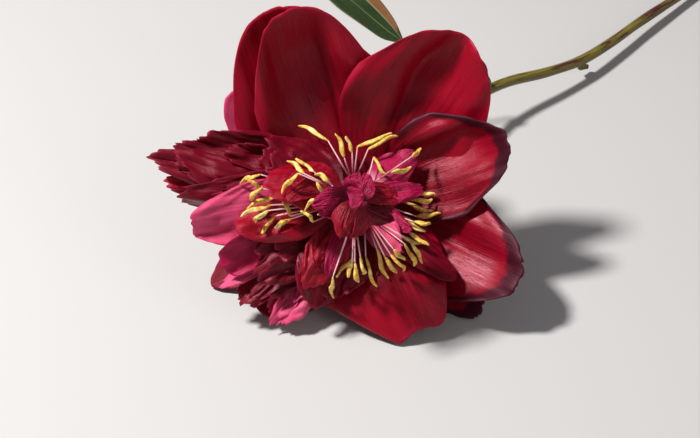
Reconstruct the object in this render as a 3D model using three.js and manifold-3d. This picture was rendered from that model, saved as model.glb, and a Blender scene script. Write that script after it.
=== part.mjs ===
// A cut peony lying on its side: an open, half-double head that rests on its lower petals,
// on a bent stem whose cut end touches the surface, with one leaf.
//
// Two frames are used. The part's own frame has +Z up and the surface at Z = 0. The head's frame
// has its origin in the middle of the flower's face, z along the flower's axis towards whoever looks
// into it, x to the right and y up the face. Lengths are in millimetres and angles in degrees.
import * as THREE from "three";
import Module from "manifold-3d";

// ---------- Driving dimensions ----------
const FACE_LIFT = 40; // the flower's axis rises this far above the surface
const HEAD_HEIGHT = 42.2; // the middle of the face above the surface
const PETAL_THICKNESS = 0.7;
const SEPAL_THICKNESS = 1.1;
const LEAF_THICKNESS = 0.8;
const CLEARANCE = 0.35; // left between pieces that touch
const RECEPTACLE_RADIUS = 11;
const RECEPTACLE_TOP = -19; // the receptacle's tip, below the middle of the face
const RECEPTACLE_DEPTH = 10;
const SEPAL_RING = RECEPTACLE_RADIUS - 0.5; // how far from the axis each kind of piece stands
const GUARD_RING = RECEPTACLE_RADIUS - 1;
const PETAL_RING = RECEPTACLE_RADIUS - 2.5;
const FRONT_RING = RECEPTACLE_RADIUS - 4;
const PETALOID_RING = RECEPTACLE_RADIUS - 5;
const INNER_RING = RECEPTACLE_RADIUS - 5.2;
const NECK_LENGTH = 7;
const STEM_DIAMETER = 4.2;
const STEM_SIDES = 8;
const PETIOLE_DIAMETER = 2.4;
const CLAW_WIDTH = 4.4; // a petal's foot
const FILAMENT_DIAMETER = 0.9;
const ANTHER_DIAMETER = 2.3;
const CARPEL_LENGTH = 12;
const CARPEL_DIAMETER = 4;

const rad = THREE.MathUtils.degToRad;
const V = (x, y, z) => new THREE.Vector3(x, y, z);

// ---------- Colours ----------
const skin = (color, roughness) =>
  new THREE.MeshStandardMaterial({ color, roughness, metalness: 0 });
const CRIMSON = skin(0x8c0a22, 0.45);
const WINE = skin(0x5a0518, 0.5);
const MAGENTA = skin(0xb01048, 0.45);
const PINK = skin(0xd8506e, 0.55);
const GOLD = skin(0xe6b030, 0.7);
const STEM_GREEN = skin(0x6b6a2a, 0.55);
const LEAF_GREEN = skin(0x26331a, 0.5);
const PALE_GREEN = skin(0x8f8f4a, 0.6);

// ---------- Closed lofts ----------
// Joins rings of points into one closed body. The first ring is closed by a fan about its middle.
// The last one is too, or with flatEnd it is closed by a strip between its two long sides, and the
// patches of the second side are split along the same diagonals as those of the first behind them.
function loft(rings, flatEnd = false) {
  const sides = rings[0].length;
  const points = rings.flat();
  const faces = [];
  for (let i = 0; i + 1 < rings.length; i++) {
    for (let j = 0; j < sides; j++) {
      const a = i * sides + j;
      const b = i * sides + ((j + 1) % sides);
      if (flatEnd && j >= sides / 2) {
        faces.push(a, b, a + sides, b, b + sides, a + sides);
      } else {
        faces.push(a, b, b + sides, a, b + sides, a + sides);
      }
    }
  }
  const middle = (ring) =>
    ring.reduce((sum, p) => sum.add(p), V(0, 0, 0)).divideScalar(sides);
  const fan = (start, turned) => {
    const pole = points.push(middle(points.slice(start, start + sides))) - 1;
    for (let j = 0; j < sides; j++) {
      const edge = [start + j, start + ((j + 1) % sides)];
      faces.push(pole, ...(turned ? edge : edge.reverse()));
    }
  };
  const last = (rings.length - 1) * sides;
  fan(0, false);
  if (flatEnd) {
    for (let j = 0; j + 1 < sides / 2; j++) {
      const near = last + j;
      const far = last + sides - 1 - j;
      faces.push(near, near + 1, far - 1, near, far - 1, far);
    }
  } else {
    fan(last, true);
  }
  const geometry = new THREE.BufferGeometry().setFromPoints(points);
  geometry.setIndex(faces);
  geometry.computeVertexNormals();
  return geometry;
}

// ---------- The pile ----------
// The head is built from its back to its face, each piece laid on those behind it. The pile keeps the
// height that they reach over a square net on the face, and pieces laid later are raised clear of it.
const CELL = 0.5;
const PILE_HALF = 110;
const ACROSS = Math.round((2 * PILE_HALF) / CELL);
const STEEPEST = 3; // slopes past this count no further towards the gap
const pile = new Float32Array(ACROSS * ACROSS).fill(-1e3);
const cellOf = (x) =>
  THREE.MathUtils.clamp(Math.floor((x + PILE_HALF) / CELL), 1, ACROSS - 2);

function pileUnder(p) {
  const column = cellOf(p.x);
  const row = cellOf(p.y);
  let top = -1e3;
  for (let i = row - 1; i <= row + 1; i++) {
    for (let j = column - 1; j <= column + 1; j++) {
      top = Math.max(top, pile[i * ACROSS + j]);
    }
  }
  return top;
}

function addToPile(p, top) {
  const at = cellOf(p.y) * ACROSS + cellOf(p.x);
  pile[at] = Math.max(pile[at], top);
}

// Calls visit(point, rise) on a close net of points over each patch of a sheet, where rise is how much
// the slope there stretches a height, and hands back the patch's four corners.
function overSheet(rows, visit) {
  for (let i = 0; i + 1 < rows.length; i++) {
    for (let j = 0; j + 1 < rows[0].length; j++) {
      const [a, b] = [rows[i][j], rows[i][j + 1]];
      const [c, d] = [rows[i + 1][j], rows[i + 1][j + 1]];
      const normal = d.clone().sub(a).cross(c.clone().sub(b)).normalize();
      const rise = Math.min(STEEPEST, 1 / Math.max(Math.abs(normal.z), 0.05));
      const steps = Math.ceil(
        Math.max(a.distanceTo(d), b.distanceTo(c)) / (0.6 * CELL),
      );
      for (let m = 0; m <= steps; m++) {
        for (let n = 0; n <= steps; n++) {
          const near = a.clone().lerp(b, n / steps);
          const far = c.clone().lerp(d, n / steps);
          visit(near.lerp(far, m / steps), rise, i, j);
        }
      }
    }
  }
}

const LIFT_SPREAD = 0.72; // how much of a raised point's rise its neighbours share
const LIFT_ROUNDS = 4;
const LIFT_SLOPE = 0.7; // how fast a rise may fall away along a sheet

// Raises a sheet's points until it clears the pile, easing the rise out into the sheet around them.
function layOnPile(rows, thickness) {
  let lift = rows.map((row) => row.map(() => 0));
  overSheet(rows, (p, rise, i, j) => {
    const needed = pileUnder(p) + (thickness / 2 + CLEARANCE) * rise - p.z;
    for (const [m, n] of [
      [i, j],
      [i, j + 1],
      [i + 1, j],
      [i + 1, j + 1],
    ]) {
      lift[m][n] = Math.max(lift[m][n], needed);
    }
  });
  for (let round = 0; round < LIFT_ROUNDS; round++) {
    lift = lift.map((row, i) =>
      row.map((own, j) =>
        Math.max(
          own,
          LIFT_SPREAD *
            Math.max(
              lift[i - 1]?.[j] ?? 0,
              lift[i + 1]?.[j] ?? 0,
              row[j - 1] ?? 0,
              row[j + 1] ?? 0,
            ),
        ),
      ),
    );
  }
  for (let round = 0; round < rows.length; round++) {
    lift = lift.map((row, i) =>
      row.map((own, j) => {
        const here = rows[i][j];
        const beside = [[i - 1, j], [i + 1, j], [i, j - 1], [i, j + 1]]
          .filter(([m, n]) => rows[m]?.[n])
          .map(([m, n]) => lift[m][n] - LIFT_SLOPE * here.distanceTo(rows[m][n]));
        return Math.max(own, ...beside);
      }),
    );
  }
  rows.forEach((row, i) => row.forEach((p, j) => (p.z += lift[i][j])));
}

function sheetOntoPile(rows, thickness) {
  overSheet(rows, (p, rise) => addToPile(p, p.z + (thickness / 2) * rise));
}

// ---------- Sheets: petals, sepals and the leaf ----------
// The points of a blade, row by row from its foot to its tip. Its midline leaves the foot at the angle
// open from the axis, and bends by bend towards the axis on its way. cup is how far round the blade's
// cross-section goes: over 0 it is hollow towards the viewer, and under 0 it bulges.
function blade(spec) {
  const {
    turn,
    open,
    length,
    width,
    base = PETAL_RING,
    foot = [base * Math.cos(rad(turn)), base * Math.sin(rad(turn))],
    bend = 0,
    cup = 0,
    sway = 0,
    twist = 0,
    fold = 0,
    round = 0.38,
    widest = 0.62,
    claw = CLAW_WIDTH,
    raise = 0,
    wave = 0,
    rows = 8,
    columns = 8,
  } = spec;
  const fine = 60; // steps along the midline
  const midline = [];
  const place = V(foot[0], foot[1], domeHeight(Math.hypot(...foot)) + raise);
  for (let k = 0; k <= fine; k++) {
    const s = k / fine;
    const leaning = rad(open - bend * s);
    const heading = rad(turn + sway * s);
    const along = V(
      Math.sin(leaning) * Math.cos(heading),
      Math.sin(leaning) * Math.sin(heading),
      Math.cos(leaning),
    );
    const side = V(-Math.sin(heading), Math.cos(heading), 0);
    const face = along.clone().cross(side);
    const turned = rad(twist * s);
    midline.push({
      at: place.clone(),
      side: side
        .clone()
        .multiplyScalar(Math.cos(turned))
        .addScaledVector(face, Math.sin(turned)),
      face: face
        .clone()
        .multiplyScalar(Math.cos(turned))
        .addScaledVector(side, -Math.sin(turned)),
    });
    place.addScaledVector(along, length / fine);
  }
  const footShare = Math.min(1, claw / width);
  const bow = rad(cup) / width; // curvature of the cross-section
  const points = [];
  for (let i = 0; i <= rows; i++) {
    const u = i / rows;
    const swell = Math.sin(Math.PI * widest * Math.pow(u, 0.75));
    const half = (width / 2) * (footShare + (1 - footShare) * swell);
    const row = [];
    for (let j = 0; j <= columns; j++) {
      const v = (2 * j) / columns - 1;
      const reach = u * (1 - round * Math.pow(Math.abs(v), 2.2));
      const k = Math.min(fine - 1, Math.floor(reach * fine));
      const t = reach * fine - k;
      const at = midline[k].at.clone().lerp(midline[k + 1].at, t);
      const { side, face } = midline[k];
      const q = v * half;
      const angle = bow * q;
      const across = bow === 0 ? q : Math.sin(angle) / bow;
      const deep = bow === 0 ? 0 : (1 - Math.cos(angle)) / bow;
      const groove = fold * Math.exp(-Math.pow(v / 0.28, 2)) * Math.sin(2.4 * u);
      const ripple = wave * v * v * u * Math.sin(7 * u + 4 * v);
      row.push(
        at
          .addScaledVector(side, across)
          .addScaledVector(face, deep - groove + ripple),
      );
    }
    points.push(row);
  }
  return points;
}

// The solid about a blade's points, half the thickness to each side of them.
function sheetSolid(rows, thickness) {
  const normalAt = (i, j) => {
    const up = rows[Math.min(i + 1, rows.length - 1)][j];
    const down = rows[Math.max(i - 1, 0)][j];
    const right = rows[i][Math.min(j + 1, rows[0].length - 1)];
    const left = rows[i][Math.max(j - 1, 0)];
    return up.clone().sub(down).cross(right.clone().sub(left)).normalize();
  };
  const rings = rows.map((row, i) => {
    const shift = (p, j, amount) =>
      p.clone().addScaledVector(normalAt(i, j), amount);
    const front = row.map((p, j) => shift(p, j, thickness / 2));
    const back = row.map((p, j) => shift(p, j, -thickness / 2));
    return [...back, ...front.reverse()];
  });
  return loft(rings, true);
}

// ---------- Rods: stamens, stem and petiole ----------
// Rings of a rod about a curve, with a radius for each place along it. The section is carried along
// the curve without turning about it.
function rodRings(path, radii, sides) {
  const tangentAt = (i) =>
    path[Math.min(i + 1, path.length - 1)]
      .clone()
      .sub(path[Math.max(i - 1, 0)])
      .normalize();
  let side = tangentAt(0).cross(V(0.31, 0.17, 0.93)).normalize();
  return path.map((at, i) => {
    const along = tangentAt(i);
    side = side.clone().addScaledVector(along, -side.dot(along)).normalize();
    const other = along.clone().cross(side);
    return Array.from({ length: sides }, (_, j) => {
      const angle = (2 * Math.PI * j) / sides;
      return at
        .clone()
        .addScaledVector(side, radii[i] * Math.cos(angle))
        .addScaledVector(other, radii[i] * Math.sin(angle));
    });
  });
}

// ---------- Receptacle and carpels ----------
// The receptacle is a cone with a rounded tip, and petals stand on its flank.
function domeHeight(r) {
  return (
    RECEPTACLE_TOP -
    RECEPTACLE_DEPTH * Math.pow(Math.min(r / RECEPTACLE_RADIUS, 1), 1.5)
  );
}

function receptacleGeometry() {
  const foot = RECEPTACLE_TOP - RECEPTACLE_DEPTH;
  const profile = [
    new THREE.Vector2(0, foot - NECK_LENGTH),
    new THREE.Vector2(STEM_DIAMETER * 0.62, foot - NECK_LENGTH),
    new THREE.Vector2(STEM_DIAMETER, foot - NECK_LENGTH / 2),
    new THREE.Vector2(RECEPTACLE_RADIUS * 0.9, foot - 0.8),
  ];
  for (let share = 1; share > 0; share -= 0.25) {
    const r = RECEPTACLE_RADIUS * share;
    profile.push(new THREE.Vector2(r, domeHeight(r)));
  }
  profile.push(new THREE.Vector2(0, domeHeight(0)));
  const lathe = new THREE.LatheGeometry(profile, 20);
  return lathe.rotateX(Math.PI / 2); // its axis becomes z
}

// ---------- The pieces of the head, from back to front ----------
// turn is the way a petal points round the face, from x towards y.
const HEAD = [
  ["sepal_lower_left", PALE_GREEN,
    { turn: 222, open: 66, length: 24, width: 13, base: SEPAL_RING, cup: 60, bend: 10 }],
  ["sepal_upper_left", PALE_GREEN,
    { turn: 128, open: 92, length: 26, width: 14, base: SEPAL_RING, cup: 50, bend: 15 }],
  ["sepal_right", PALE_GREEN,
    { turn: 20, open: 88, length: 27, width: 12, base: SEPAL_RING, cup: 55, bend: 12 }],
  ["guard_petal_under_far_left", WINE,
    { turn: 210, open: 91, length: 54, width: 24, base: GUARD_RING, cup: 20, twist: 30 }],
  ["guard_petal_under_right", WINE,
    { turn: 319, open: 73, length: 57, width: 30, base: GUARD_RING, cup: 30 }],
  ["guard_petal_under_left", WINE,
    { turn: 230, open: 69, length: 48, width: 38, base: GUARD_RING, cup: 30 }],
  ["guard_petal_behind", CRIMSON,
    { turn: 84, open: 84, length: 47, width: 40, base: GUARD_RING, cup: 40, bend: 20 }],
  ["guard_petal_back_left", PINK,
    { turn: 140, open: 80, length: 56, width: 34, cup: 40, bend: 15 }],
  ["guard_petal_top_left_rear", CRIMSON,
    { turn: 115, open: 80, length: 75, width: 60, cup: 50, bend: 26 }],
  ["guard_petal_top_left_front", CRIMSON,
    { turn: 109, open: 74, length: 75, width: 52, cup: 60, bend: 26, base: FRONT_RING + 0.5 }],
  ["guard_petal_top", CRIMSON,
    { turn: 55, open: 76, length: 70, width: 58, cup: 40, bend: 26, fold: 4 }],
  ["guard_petal_right_lower", WINE,
    { turn: -26, open: 72, length: 68, width: 46, cup: 36, bend: 18, fold: -3 }],
  ["guard_petal_right_upper", CRIMSON,
    { turn: 21, open: 74, length: 61, width: 40, cup: 36, bend: 24 }],
  ["guard_petal_bottom", CRIMSON,
    { turn: -64, open: 26, length: 62, width: 44, cup: -70, bend: -79, base: FRONT_RING }],
  ["petal_low_crumpled", PINK,
    { turn: 236, open: 64, length: 52, width: 23, cup: -20, bend: -8, columns: 6 }],
  ["petal_low_left_dark", WINE,
    { turn: 222, open: 68, length: 54, width: 22, cup: 20, bend: -4, columns: 6 }],
  ["petal_pink_point", PINK,
    { turn: 213, open: 74, length: 54, width: 12, cup: 20, columns: 6, round: 0.5 }],
  ["petal_left_tip", CRIMSON,
    { turn: 175, open: 80, length: 67, width: 18, cup: 20, bend: 8, columns: 6 }],
  ["petal_left_long", MAGENTA,
    { turn: 168, open: 80, length: 74, width: 17, cup: 30, bend: 6, columns: 6 }],
  ["petal_left_upper", MAGENTA,
    { turn: 162, open: 78, length: 66, width: 28, cup: 30, bend: 10, columns: 6 }],
  ["petal_left_dark", WINE,
    { turn: 179, open: 76, length: 62, width: 20, cup: 30, bend: 6, columns: 6, round: 0.5 }],
  ["petal_left_pink", PINK, { turn: 189, open: 74, length: 56, width: 26, cup: -30, columns: 6 }],
  ["petal_left_spoon", MAGENTA,
    { turn: 206, open: 66, length: 50, width: 22, cup: -50, bend: -10, columns: 6 }],
  ["petal_low_broad", WINE,
    { turn: 217, open: 58, length: 42, width: 30, cup: 20, bend: -20, columns: 6 }],
  ["petal_low_middle", WINE,
    { turn: 250, open: 52, length: 38, width: 28, cup: -30, bend: -34, columns: 6 }],
  ["petal_low_red", CRIMSON,
    { turn: 241, open: 54, length: 32, width: 15, cup: 20, bend: -24, columns: 6 }],
  ["petal_left_smooth", CRIMSON,
    { turn: 193, open: 60, length: 40, width: 20, cup: -30, bend: -20, columns: 6 }],
  ["petal_right_small", WINE,
    { turn: -38, open: 48, length: 44, width: 13, cup: -30, bend: -34, columns: 6 }],
  ["petaloid_dark", WINE,
    { turn: 150, open: 66, length: 38, width: 26, base: PETALOID_RING, cup: 20, rows: 6, columns: 6 }],
  ["petaloid_magenta", MAGENTA,
    { turn: 38, open: 54, length: 26, width: 14, base: PETALOID_RING, cup: -40, bend: -20,
      rows: 6, columns: 4 }],
  ["petaloid_strap_down", MAGENTA,
    { turn: 250, open: 56, length: 26, width: 8, base: PETALOID_RING, cup: 30, bend: -20,
      rows: 6, columns: 4 }],
];

// Petaloids that lie over the filaments of the first stamens.
const COVERING_PETALOIDS = [
  ["petaloid_left_point", CRIMSON,
    { turn: 158, open: 66, length: 30, width: 19, base: PETALOID_RING, sway: 34, cup: -20, bend: -10,
      rows: 6, columns: 6, round: 0.5 }],
  ["petaloid_strap_left", CRIMSON,
    { turn: 152, open: 70, length: 22, width: 8, base: PETALOID_RING, sway: 80, cup: 30,
      rows: 6, columns: 4 }],
  ["petaloid_strip_low", MAGENTA,
    { turn: -28, open: 66, length: 20, width: 8, base: PETALOID_RING, cup: 40,
      rows: 6, columns: 4 }],
  ["petaloid_pink", PINK,
    { turn: -50, open: 62, length: 25, width: 13, base: PETALOID_RING, cup: 30,
      rows: 6, columns: 4 }],
];

// The petaloids over the middle of the face, some of which spring from beside the carpels.
const MIDDLE_PETALOIDS = [
  ["petaloid_strip_right", MAGENTA,
    { turn: 9, open: 72, length: 22, width: 9, base: PETALOID_RING, cup: 40, rows: 6, columns: 4 }],
  ["petaloid_middle_left", MAGENTA,
    { turn: 194, open: 66, length: 16, width: 12, foot: [-1, 0], cup: 30, rows: 6, columns: 4 }],
  ["petaloid_right_fold", WINE,
    { turn: -24, open: 66, length: 16, width: 11, foot: [1, -1], cup: -40, rows: 6, columns: 4 }],
  ["petaloid_middle_low", WINE,
    { turn: 254, open: 64, length: 15, width: 13, foot: [0, -1], cup: -30, bend: -20,
      rows: 6, columns: 4 }],
  ["petaloid_middle_right", WINE,
    { turn: 12, open: 66, length: 17, width: 8, foot: [1, 2], sway: -50, cup: 50,
      rows: 6, columns: 4 }],
  ["petaloid_middle_top", MAGENTA,
    { turn: 66, open: 50, length: 12, width: 12, foot: [0, 1], cup: 60, rows: 6, columns: 4 }],
  ["petaloid_knot", MAGENTA,
    { turn: 12, open: 40, length: 8, width: 9, foot: [-2, 0], cup: 90, rows: 6, columns: 4 }],
];

// Each bundle of stamens, and for each of its anthers where it starts on its filament and where its
// tip is: x, y, then x, y, seen face on.
const OUTER_STAMENS = [
  ["stamens_far_left", [
    [-34, 9, -42, 6], [-34, 4, -39, 8], [-32, 5, -38, 0],
    [-29, 1, -39, -3],
  ]],
  ["stamens_left", [
    [-30, -2, -41, -6], [-31, -4, -36, -8], [-29, -6, -34, -12],
    [-23, -7, -29, -10], [-23, -6, -25, 1],
  ]],
  ["stamens_top_left", [
    [-10, 22, -21, 28], [-4, 16, -7, 25], [-1, 18, -3, 24],
    [1, 20, 14, 25], [5, 19, 16, 24],
  ]],
  ["stamens_right", [[17, 0, 29, -4], [22, 0, 29, 0], [23, 3, 30, 2], [23, -6, 32, -5]]],
  ["stamens_right_lower", [
    [18, -6, 26, -12], [22, -8, 28, -9], [14, -12, 25, -16],
    [20, -12, 27, -17],
  ]],
];
const INNER_STAMENS = [
  ["stamens_top_right", [[7, 16, 12, 9], [12, 10, 21, 12], [21, 16, 25, 19]]],
  ["stamens_upper_left", [[-15, 10, -21, 15], [-18, 9, -24, 14], [-20, 9, -26, 2]]],
  ["stamens_left_inner", [[-9, 6, -14, 9], [-10, -1, -13, 6], [-11, 2, -18, -4]]],
  ["stamens_middle", [[-15, -8, -19, -4], [-15, -7, -18, -14], [-3, -8, -13, -5]]],
  ["stamens_bottom", [
    [8, -18, 12, -29], [4, -21, 8, -32], [11, -21, 15, -27],
    [13, -20, 18, -26], [14, -18, 18, -22], [18, -16, 22, -24],
    [20, -15, 25, -23],
  ]],
  ["stamens_low_left", [
    [0, -21, -7, -28], [-8, -28, -8, -36], [-1, -23, -3, -28],
    [0, -23, 1, -30], [2, -21, 3, -27],
  ]],
];

// ---------- Assembly ----------
const wasm = await Module();
wasm.setup();

function solidFrom(geometry) {
  const position = geometry.getAttribute("position");
  return new wasm.Manifold(
    new wasm.Mesh({
      numProp: 3,
      vertProperties: new Float32Array(position.array),
      triVerts: new Uint32Array(geometry.index.array),
    }),
  );
}

function geometryFrom(solid) {
  const mesh = solid.getMesh();
  const geometry = new THREE.BufferGeometry();
  geometry.setAttribute(
    "position",
    new THREE.BufferAttribute(mesh.vertProperties, 3),
  );
  geometry.setIndex(new THREE.BufferAttribute(mesh.triVerts, 1));
  geometry.computeVertexNormals();
  return geometry;
}

const STAMEN_RISE = 13; // from the foot of a stamen to its tip, along the axis
const FILAMENT_STEPS = 5;
const ANTHER_SHAPE = [0.6, 1, 0.95, 0.5]; // radii along an anther, as shares of the widest

// The path of one stamen in the head's frame, from the bundle's foot to its anther's tip.
function stamenPath(foot, [neckX, neckY, tipX, tipY]) {
  const height = foot.z + STAMEN_RISE;
  const neck = V(neckX, neckY, height - 1);
  const tip = V(tipX, tipY, height);
  const places = [];
  for (let k = 0; k < FILAMENT_STEPS; k++) {
    const s = k / FILAMENT_STEPS;
    const p = foot.clone().lerp(neck, Math.pow(s, 1.3));
    p.z = foot.z + (neck.z - foot.z) * (1 - Math.pow(1 - s, 2));
    places.push(p);
  }
  const steps = ANTHER_SHAPE.length - 1;
  ANTHER_SHAPE.forEach((_, k) => places.push(neck.clone().lerp(tip, k / steps)));
  return places;
}

function stamenRadii() {
  const filament = Array(FILAMENT_STEPS).fill(FILAMENT_DIAMETER / 2);
  return [...filament, ...ANTHER_SHAPE.map((s) => (s * ANTHER_DIAMETER) / 2)];
}

function layRodOnPile(path, radii) {
  const lift = path.map(() => 0);
  for (let i = 0; i + 1 < path.length; i++) {
    for (let s = 0; s <= 1; s += 0.1) {
      const probe = path[i].clone().lerp(path[i + 1], s);
      const radius = Math.max(radii[i], radii[i + 1]);
      const needed = pileUnder(probe) + radius + CLEARANCE - probe.z;
      lift[i] = Math.max(lift[i], needed);
      lift[i + 1] = Math.max(lift[i + 1], needed);
    }
  }
  path.forEach((p, i) => {
    const beside = Math.max(lift[i - 1] ?? 0, lift[i + 1] ?? 0);
    p.z += Math.max(lift[i], LIFT_SPREAD * beside);
  });
}

function rodOntoPile(path, radii) {
  for (let i = 0; i + 1 < path.length; i++) {
    for (let s = 0; s <= 1; s += 0.1) {
      const p = path[i].clone().lerp(path[i + 1], s);
      const r = Math.max(radii[i], radii[i + 1]);
      for (const dx of [-r, 0, r]) {
        for (const dy of [-r, 0, r]) {
          addToPile(V(p.x + dx, p.y + dy, p.z), p.z + r);
        }
      }
    }
  }
}

const head = new THREE.Group();
head.rotation.x = rad(90 - FACE_LIFT);
head.position.set(0, 0, HEAD_HEIGHT);

function addMesh(group, name, geometry, material) {
  const mesh = new THREE.Mesh(geometry, material);
  mesh.name = name;
  group.add(mesh);
}

addMesh(head, "receptacle", receptacleGeometry(), PALE_GREEN);
for (let x = -RECEPTACLE_RADIUS; x <= RECEPTACLE_RADIUS; x += CELL / 2) {
  for (let y = -RECEPTACLE_RADIUS; y <= RECEPTACLE_RADIUS; y += CELL / 2) {
    const r = Math.hypot(x, y);
    if (r <= RECEPTACLE_RADIUS) addToPile(V(x, y, 0), domeHeight(r));
  }
}

for (const [name, side] of [["carpel_left", -1], ["carpel_right", 1]]) {
  const path = [0, 0.25, 0.6, 0.85, 1].map((share) =>
    V(
      side * (CARPEL_DIAMETER / 2 + CLEARANCE / 2 + share * share),
      side * share * share,
      RECEPTACLE_TOP + CLEARANCE + CARPEL_LENGTH * share,
    ),
  );
  const radii = [0.7, 1, 0.9, 0.5, 0.3].map((r) => (r * CARPEL_DIAMETER) / 2);
  addMesh(head, name, loft(rodRings(path, radii, 8)), PINK);
  rodOntoPile(path, radii);
}

function addSheet([name, material, spec]) {
  const thickness = name.startsWith("sepal") ? SEPAL_THICKNESS : PETAL_THICKNESS;
  const rows = blade(spec);
  layOnPile(rows, thickness);
  addMesh(head, name, sheetSolid(rows, thickness), material);
  sheetOntoPile(rows, thickness);
}

function addStamens([name, stamens]) {
  const radii = stamenRadii();
  const foot = V(0, 0, 0);
  stamens.forEach(([x, y]) => foot.add(V(x, y, 0)));
  foot.setLength(INNER_RING).setZ(domeHeight(INNER_RING));
  const paths = stamens.map((stamen) => stamenPath(foot, stamen));
  for (const path of paths) {
    layRodOnPile(path, radii);
    path[0].copy(paths[0][0]);
    rodOntoPile(path.slice(3), radii.slice(3));
  }
  const rods = paths.map((path) => solidFrom(loft(rodRings(path, radii, 4))));
  const joined = rods.reduce((sum, rod) => sum.add(rod));
  addMesh(head, name, geometryFrom(joined), GOLD);
  paths.forEach((path) => rodOntoPile(path.slice(0, 4), radii));
}

HEAD.forEach(addSheet);
OUTER_STAMENS.forEach(addStamens);
COVERING_PETALOIDS.forEach(addSheet);
INNER_STAMENS.forEach(addStamens);
MIDDLE_PETALOIDS.forEach(addSheet);

// ---------- Stem, petiole and leaf ----------
// In the part's own frame, seen from in front with the head at X = 0 and Y = 0.
const STEM_POINTS = [
  [20, 50, 15],
  [45, 85, 19],
  [58, 103, 19],
  [99, 135, 10.5],
  [140, 181, 7],
  [205, 252, 2.3],
];
const STEM_SKIN = STEM_DIAMETER / 2;
const PETIOLE_POINTS = [
  [56, 101, 22.9 + STEM_SKIN],
  [47, 103, 33],
  [34, 100, 42],
  [21, 97, 46],
];
const BUD_SCAR = {
  beside: [99, 135, 10.5], // a point on the stem's middle line
  away: [2, 3, -4.5],
  gap: 3.67, // from the stem's skin to the middle of the scar's foot
  towards: [1, 0.9, -0.6],
  length: 5,
  diameter: 3.2,
};
const LEAF = {
  pastPetiole: [-1, -0.3, 1], // from the petiole's end to the leaf's foot
  towards: [-40, 19, 33],
  spin: 35, // how far it is turned about its own midline
  sheet: { length: 62, width: 34, cup: 100, bend: -8, claw: 3, widest: 0.9, round: 0.2 },
};

// A rod through the points. A start, if given, lies before them, and the rod runs straight from it.
function rodThrough(points, count, diameters, sides, start) {
  const path = new THREE.CatmullRomCurve3(points).getPoints(count);
  if (start) path.unshift(start);
  const radii = path.map((_, i) => {
    const share = i / (path.length - 1);
    return (diameters[0] + (diameters[1] - diameters[0]) * share) / 2;
  });
  return loft(rodRings(path, radii, sides));
}

const peony = new THREE.Group();
peony.add(head);
head.updateMatrixWorld(true);
const neckEnd = RECEPTACLE_TOP - RECEPTACLE_DEPTH - NECK_LENGTH - CLEARANCE;
const stemStart = [0, -1, -3].map((z) => head.localToWorld(V(0, 0, neckEnd + z)));
addMesh(
  peony,
  "stem",
  rodThrough(
    [...stemStart.slice(1), ...STEM_POINTS.map((p) => V(...p))],
    18,
    [STEM_DIAMETER * 1.1, STEM_DIAMETER],
    STEM_SIDES,
    stemStart[0],
  ),
  STEM_GREEN,
);
addMesh(
  peony,
  "petiole",
  rodThrough(
    PETIOLE_POINTS.map((p) => V(...p)),
    6,
    [PETIOLE_DIAMETER, PETIOLE_DIAMETER * 0.8],
    STEM_SIDES,
  ),
  STEM_GREEN,
);
const scar = V(...BUD_SCAR.away)
  .setLength(STEM_SKIN + BUD_SCAR.gap)
  .add(V(...BUD_SCAR.beside));
const scarEnd = scar
  .clone()
  .addScaledVector(V(...BUD_SCAR.towards).normalize(), BUD_SCAR.length);
addMesh(
  peony,
  "bud_scar",
  rodThrough([scar, scarEnd], 3, [BUD_SCAR.diameter, BUD_SCAR.diameter * 0.7], STEM_SIDES),
  STEM_GREEN,
);

const leafAlong = V(...LEAF.towards).normalize();
const leafFacing = V(0, -Math.cos(rad(FACE_LIFT)), Math.sin(rad(FACE_LIFT)));
const leafFace = leafFacing
  .addScaledVector(leafAlong, -leafFacing.dot(leafAlong))
  .normalize()
  .applyAxisAngle(leafAlong, rad(LEAF.spin));
const leafSide = leafAlong.clone().cross(leafFace);
const leafFrame = new THREE.Matrix4().makeBasis(leafFace.negate(), leafSide, leafAlong);
const leafFoot = V(...PETIOLE_POINTS.at(-1)).add(V(...LEAF.pastPetiole));
const leafRows = blade({ turn: 0, open: 0, base: 0, ...LEAF.sheet });
for (const p of leafRows.flat()) {
  p.z -= domeHeight(0);
  p.applyMatrix4(leafFrame).add(leafFoot);
}
addMesh(peony, "leaf", sheetSolid(leafRows, LEAF_THICKNESS), LEAF_GREEN);

// The middle of the part's footprint goes to the origin.
const bounds = new THREE.Box3().setFromObject(peony, true);
const middle = bounds.getCenter(V(0, 0, 0));
peony.children.forEach((child) => child.position.sub(V(middle.x, middle.y, bounds.min.z)));
export default peony;
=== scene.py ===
"""A cut peony lying on its side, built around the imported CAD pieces.

Every petal, leaf, sepal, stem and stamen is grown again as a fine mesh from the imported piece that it
stands for: the piece's rings of points are read back as a net, and a smooth sheet or tube with veins,
ruffles and torn edges is laid through that net. Lengths are in metres.
"""

import math

import bpy
import numpy as np
from mathutils import Matrix, Vector


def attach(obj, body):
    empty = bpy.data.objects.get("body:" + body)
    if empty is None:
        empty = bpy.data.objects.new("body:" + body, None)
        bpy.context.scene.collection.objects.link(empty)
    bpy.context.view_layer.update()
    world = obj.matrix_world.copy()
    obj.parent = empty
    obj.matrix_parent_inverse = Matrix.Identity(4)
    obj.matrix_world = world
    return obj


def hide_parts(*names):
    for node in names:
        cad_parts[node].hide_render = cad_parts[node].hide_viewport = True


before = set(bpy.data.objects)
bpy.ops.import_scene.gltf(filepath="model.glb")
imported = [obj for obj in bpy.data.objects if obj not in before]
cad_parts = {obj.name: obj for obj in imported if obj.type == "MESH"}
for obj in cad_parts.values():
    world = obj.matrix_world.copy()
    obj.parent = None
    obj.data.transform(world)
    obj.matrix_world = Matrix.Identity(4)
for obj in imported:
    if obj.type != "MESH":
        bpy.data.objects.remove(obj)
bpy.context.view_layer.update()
MM = 0.001

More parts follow.
